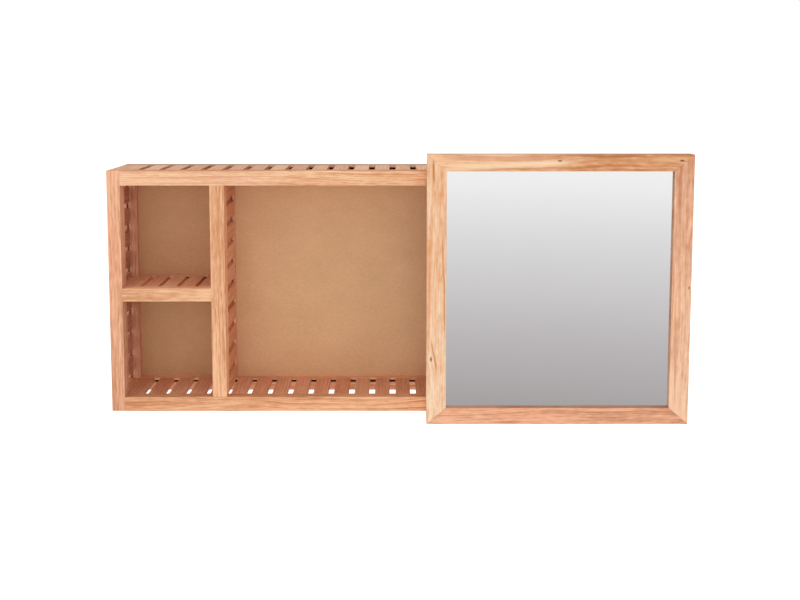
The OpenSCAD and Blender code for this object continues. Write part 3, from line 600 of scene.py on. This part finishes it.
DOOR_GRAIN = 0.55
BEAD_TONE = (222, 166, 126)
DOOR_BOARDS = (
    ("door_top_rail", "X", (234, 173, 126), {
        "grain": DOOR_GRAIN, "contrast": 1.1, "spread": (0.9, 1.3, 1.45), "drift": 2.2, "middle": 0.27,
        "knots": ((0.4830, 0.0322, 0.0022), (0.2792, 0.0317, 0.0018)),
        "dark": (lip_shade("Z", OPEN_HIGH, 0.2), DOOR_TOP_SHADE), "stripes": (
            ((0.072, 0.0190), (0.318, 0.0308), 0.0050, (254, 218, 178), 0.9),
            ((0.148, 0.0163), (0.300, 0.0225), 0.0014, (214, 150, 106), 0.8),
            ((0.075, 0.0360), (0.290, 0.0365), 0.0040, (222, 162, 126), 0.8),
            ((0.284, 0.0396), (0.455, 0.0396), 0.0014, (176, 112, 66), 0.6),
            ((0.320, 0.0340), (0.470, 0.0340), 0.0034, (212, 146, 98), 0.5),
            ((0.430, 0.0345), (0.500, 0.0345), 0.0045, (242, 192, 146), 0.7),
        )}),
    ("door_bottom_rail", "X", (231, 165, 127), {
        "grain": 0.9, "contrast": 1.3, "drift": 1.0, "middle": 0.28,
        "dark": (lip_shade("Z", OPEN_LOW, 0.32),), "stripes": (
            ((0.342, -0.3987), (0.484, -0.4135), 0.0018, (212, 146, 110), 0.5),
        )}),
    ("door_left_stile", "Z", (255, 196, 152), {
        "grain": DOOR_GRAIN, "contrast": 1.12, "figure": 0.6, "spread": (0.7, 1.15, 1.55),
        "drift": 1.15, "middle": -0.19, "knots": ((0.0652, -0.3069, 0.0020),),
        "dark": (lip_shade("X", OPEN_LEFT, 0.2), DOOR_TOP_SHADE), "stripes": (
            ((0.0830, -0.0755), (0.0898, -0.2793), 0.0014, (214, 146, 98), 0.8),
            ((0.0646, -0.2699), (0.0754, -0.3286), 0.0016, (208, 136, 88), 0.8),
            ((0.0683, 0.0325), (0.0683, -0.0073), 0.0014, (188, 122, 72), 0.8),
        )}),
    ("door_right_stile", "Z", (236, 178, 141), {
        "grain": DOOR_GRAIN, "contrast": 0.95, "figure": 0.6, "spread": (0.9, 1.25, 1.25),
        "drift": 1.4, "middle": -0.19, "knots": ((0.5003, -0.1834, 0.0014),),
        "dark": (lip_shade("X", OPEN_RIGHT, 0.25), DOOR_TOP_SHADE), "stripes": (
            ((0.5030, -0.0769), (0.4973, -0.1218), 0.0014, (196, 134, 94), 0.8),
            ((0.4775, -0.1800), (0.4815, -0.4000), 0.0012, (214, 152, 110), 0.7),
        )}),
    ("bead_top", "X", BEAD_TONE, {}),
    ("bead_bottom", "X", BEAD_TONE, {}),
    ("bead_left", "Z", BEAD_TONE, {}),
    ("bead_right", "Z", BEAD_TONE, {}),
)

# Dowels, pins and splines of a finer grain, which stay hidden in the joints

FINER = {"grain": 2.0}
JOINERY = (
    ("corner_dowels", "X", (222, 184, 140), FINER),
    ("divider_pins", "Z", (222, 184, 140), FINER),
    ("shelf_pins", "X", (222, 184, 140), FINER),
    ("door_splines", "X", (214, 170, 126), FINER),
)

# Slats: name, the axis across them, how many, how wide, their tone and how much painted shade darkens
# their sides

SLATS = (
    ("top_slats", "X", 26, 0.0254, (222, 165, 123), 0.5),
    ("bottom_slats", "X", 26, 0.0254, (214, 148, 113), 0.0),
    # The left side slats' tone is darker than the right side's as painted shade.
    ("left_side_slats", "Z", 9, 0.0284, (186, 123, 94), 0.0),
    ("right_side_slats", "Z", 9, 0.0284, (210, 150, 118), 0.0),
    ("left_divider_slats", "Z", 10, 0.0273, (220, 152, 112), 0.0),
    ("right_divider_slats", "Z", 10, 0.0273, (220, 156, 118), 0.0),
    ("left_shelf_slats", "X", 5, 0.025, (222, 160, 124), 0.0),
    ("right_shelf_slats", "X", 5, 0.025, (222, 160, 124), 0.0),
)
SLAT_CONTRAST = 0.6
SIDE_RAIL_TONE = (212, 148, 102)


def slat_boards(node_name, side, count, width):
    """Where the slats of a node lie. A shelf's slats span its front rail, as its end slats are wider."""
    low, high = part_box(node_name.replace("shelf_slats", "shelf_front_rail"))
    i = "XYZ".index(side)
    pitch = (high[i] - low[i] - width) / (count - 1)
    return side, low[i] - (pitch - width) / 2, pitch, count


# Each board, pair of side rails and set of slats gets its own wood

seed = 1
for node_name, axis, tone, looks in CABINET_BOARDS + DOOR_BOARDS + JOINERY:
    finish(node_name, WOOD_ARRIS, wood(node_name + "_wood", axis, tone, seed, **looks))
    seed += 1

for side_name in ("left", "right"):
    node_name = side_name + "_side_rails"
    low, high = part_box(node_name)
    halves = ("Z", low.z, (high.z - low.z) / 2, 2)
    finish(node_name, WOOD_ARRIS, wood(node_name + "_wood", "Y", SIDE_RAIL_TONE, seed, boards=halves))
    seed += 1

for node_name, side, count, width, tone, sawn in SLATS:
    spans = slat_boards(node_name, side, count, width)
    mat = wood(node_name + "_wood", "Y", tone, seed, contrast=SLAT_CONTRAST, boards=spans, sawn=sawn)
    finish(node_name, WOOD_ARRIS, mat)
    seed += 1

# Back panel, backing and mirror

PANEL_PALE, PANEL_DEEP = rgb(232, 184, 141), rgb(198, 151, 108)
PANEL_SPREAD = 0.7
# Painted light on the back panel: paler towards the door on the right and towards the top.
PANEL_PAINTED_LIGHT = (("X", -0.04, 0.06, 1.12), ("Z", -0.10, 0.0, 1.10))
# Painted shade on the front of the back panel in the outer bays.
OUTER_BAY_SHADE = (0.3, 0.4)
PANEL_SEED, BACKING_SEED, STOP_SEED = 3.1, 5.7, 2.2
BACKING_PALE, BACKING_DEEP = rgb(196, 158, 120), rgb(150, 112, 78)
panel_mat = board("back_panel_board", PANEL_PALE, PANEL_DEEP, PANEL_SEED, spread=PANEL_SPREAD,
                  shade=OUTER_BAY_SHADE, painted_light=PANEL_PAINTED_LIGHT)
finish("back_panel", 0.0, panel_mat)
finish("mirror_backing", 0.0, board("mirror_backing_board", BACKING_PALE, BACKING_DEEP, BACKING_SEED))
finish("mirror_glass", WOOD_ARRIS, mirror("mirror_silver"))

# Fittings of steel, nylon and rubber

METAL_NODES = (
    "hanger_plates", "hanger_screws", "bracket_screws", "guide_screws",
    "left_roller_bracket", "right_roller_bracket", "left_roller_axle", "right_roller_axle",
)
STEEL_STEP, NYLON_STEP = 0.37, 0.53
for node_name in METAL_NODES:
    finish(node_name, METAL_ARRIS, steel(node_name + "_steel", seed * STEEL_STEP))
    seed += 1

NYLON_PALE, NYLON_DEEP = rgb(226, 224, 216), rgb(208, 205, 196)
RUBBER_PALE, RUBBER_DEEP = rgb(206, 150, 114), rgb(190, 134, 98)
NYLON_SURFACE, RUBBER_SURFACE = (0.42, 0.2, 0.2, 0.0002), (0.7, 0.2, 0.2, 0.0002)
for node_name in ("left_roller", "right_roller", "left_door_guide", "right_door_guide"):
    mat = moulded(node_name + "_nylon", NYLON_PALE, NYLON_DEEP, NYLON_SURFACE, seed * NYLON_STEP)
    finish(node_name, NYLON_ARRIS, mat)
    seed += 1
rubber = moulded("track_stops_rubber", RUBBER_PALE, RUBBER_DEEP, RUBBER_SURFACE, STOP_SEED)
finish("track_stops", WOOD_ARRIS, rubber)

# Floor

FLOOR_DROP = 0.75
FLOOR_HALF = 30.0
FLOOR_WHITE, FLOOR_ROUGH = (0.8, 0.8, 0.8, 1.0), 0.9
floor_z = cad_low.z - FLOOR_DROP
corners = [(side_x * FLOOR_HALF, side_y * FLOOR_HALF, floor_z)
           for side_x, side_y in ((-1, -1), (1, -1), (1, 1), (-1, 1))]
mesh = bpy.data.meshes.new("floor")
mesh.from_pydata(corners, [], [(0, 1, 2, 3)])
floor = bpy.data.objects.new("floor", mesh)
bpy.context.scene.collection.objects.link(floor)
floor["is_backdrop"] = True
floor.visible_glossy = False

# The camera alone sees the floor glow, which brings it to the white of the photograph.
FLOOR_GLOW = 0.55
net = Net("floor_white")
net.put(Base_Color=FLOOR_WHITE, Roughness=FLOOR_ROUGH)
to_camera = net.add("LightPath").outputs["Is Camera Ray"]
glow = net.add("Emission", {"Color": WHITE, "Strength": net.times(to_camera, FLOOR_GLOW)})
both = net.add("AddShader", {0: net.shader.outputs[0], 1: glow.outputs[0]})
net.set(net.out.inputs[0], both.outputs[0])
floor.data.materials.append(net.mat)

# Room light

world = bpy.data.worlds.new("studio")
world.use_nodes = True
bpy.context.scene.world = world
sky = Tree(world.node_tree)

# Reflections see a studio that is brightest just below eye level, and falls off to grey towards the floor
# and more slowly towards the ceiling. Each stop is (height of the direction, sRGB colour).
STOPS = (
    (-1.0, (128, 125, 125)), (-0.6, (146, 142, 141)), (-0.40, (158, 153, 152)), (-0.353, (172, 168, 167)),
    (-0.331, (180, 176, 177)), (-0.290, (192, 188, 189)), (-0.248, (206, 203, 204)),
    (-0.205, (218, 217, 217)), (-0.160, (232, 231, 232)), (-0.115, (246, 246, 246)),
    (-0.09, (249, 249, 249)), (-0.03, (236, 236, 237)), (0.20, (206, 206, 208)), (1.0, (190, 190, 192)),
)
LOW_STOP, HIGH_STOP = STOPS[0][0], STOPS[-1][0]
height = sky.split(sky.add("TexCoord").outputs["Generated"])["Z"]
fall = sky.add("MapRange", {0: height, 1: LOW_STOP, 2: HIGH_STOP, 3: 0.0, 4: 1.0}).outputs[0]
span = HIGH_STOP - LOW_STOP
grade = sky.ramp(fall, [((at - LOW_STOP) / span, rgb(*level)) for at, level in STOPS])
rays = sky.add("LightPath").outputs
shown = sky.mix(rays["Is Glossy Ray"], WHITE, grade)
seen = sky.mix(rays["Is Camera Ray"], shown, WHITE)
back = sky.add("Background", {"Color": seen, "Strength": 1.0})
sky.add("OutputWorld", {"Surface": back.outputs[0]})

LAMP_AT, LAMP_TARGET = Vector((0.2, -3.4, -0.5)), Vector((0.0, 0.0, -0.2))
LAMP_WIDE, LAMP_HIGH, LAMP_WATTS = 3.0, 2.4, 10.0
lamp = bpy.data.lights.new("front_box", "AREA")
lamp.shape = "RECTANGLE"
lamp.size, lamp.size_y = LAMP_WIDE, LAMP_HIGH
lamp.energy = LAMP_WATTS
front_box = bpy.data.objects.new("front_box", lamp)
front_box.location = LAMP_AT
front_box.rotation_euler = (LAMP_TARGET - LAMP_AT).to_track_quat("-Z", "Y").to_euler()
front_box.visible_glossy = False
front_box.visible_camera = False
bpy.context.scene.collection.objects.link(front_box)

# Camera

# The photograph is level, with the lens shifted down. Part of that shift is a tilt here, so that the
# other views keep the whole cabinet in their frame.
PHOTO_W, PHOTO_H = 800, 600
FOCAL_PX = 865.29
AXIS_X, AXIS_Y = 391.8, 152.0
CAMERA_AT = (-0.00129, -1.58206, 0.16486)
CAMERA_TILT = 4.706
SENSOR = 36.0
CLIP_NEAR, CLIP_FAR = 0.01, 100.0
camera = bpy.data.objects.new("camera", bpy.data.cameras.new("camera"))
camera.location = CAMERA_AT
camera.rotation_euler = (math.radians(90.0 - CAMERA_TILT), 0.0, 0.0)
camera.data.sensor_width = SENSOR
camera.data.lens = SENSOR * FOCAL_PX / PHOTO_W
camera.data.shift_x = (PHOTO_W / 2 - AXIS_X) / PHOTO_W
camera.data.shift_y = (AXIS_Y - PHOTO_H / 2) / PHOTO_W
camera.data.clip_start, camera.data.clip_end = CLIP_NEAR, CLIP_FAR
bpy.context.scene.collection.objects.link(camera)
bpy.context.scene.camera = camera
bpy.context.scene.view_settings.view_transform = "Standard"

low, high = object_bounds()
